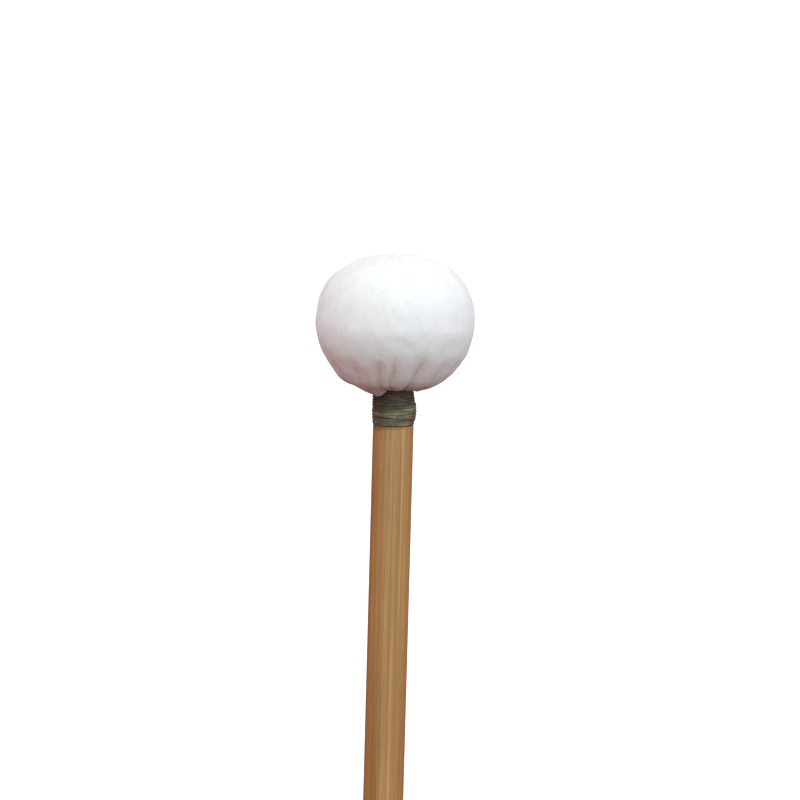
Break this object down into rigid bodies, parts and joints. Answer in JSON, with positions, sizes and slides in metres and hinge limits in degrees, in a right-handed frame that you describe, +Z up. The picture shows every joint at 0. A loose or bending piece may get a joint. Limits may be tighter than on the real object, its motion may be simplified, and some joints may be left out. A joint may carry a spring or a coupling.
{
  "type": "timpani mallet",
  "caption": "Soft timpani mallet: a felt ball head gathered in pleats over a wood core and tied with wound thread to a straight bamboo stick.",
  "frame": {"origin": "middle of the stick's end face at the butt", "axes": "+Z runs up the stick to the head, -Y faces the picture's camera, +X is to the right in the picture"},
  "size_m": [0.0474, 0.0472, 0.3799],
  "materials": {
    "bamboo": "straight-grained honey-brown bamboo, thinly lacquered",
    "plug_wood": "end-grain hardwood, oiled",
    "dowel_wood": "plain hardwood dowel",
    "core_wood": "turned beech, unfinished",
    "steel": "plain zinc-bright steel",
    "inner_felt": "hard pressed wool felt",
    "pale_thread": "undyed waxed linen thread",
    "white_felt": "soft white wool felt with a fine nap",
    "olive_thread": "dark olive twisted thread with a dull sheen"
  },
  "bodies": {
    "root": {"bamboo_shaft": "bamboo", "butt_plug": "plug_wood", "tip_dowel": "dowel_wood", "head_core": "core_wood", "core_washer": "steel", "core_screw": "steel", "crown_pad": "inner_felt", "inner_felt_band": "inner_felt", "band_seam_lacing": "pale_thread", "neck_whipping": "pale_thread", "felt_cover": "white_felt", "cover_draw_thread": "pale_thread", "binding_thread": "olive_thread"}
  },
  "joints": []
}
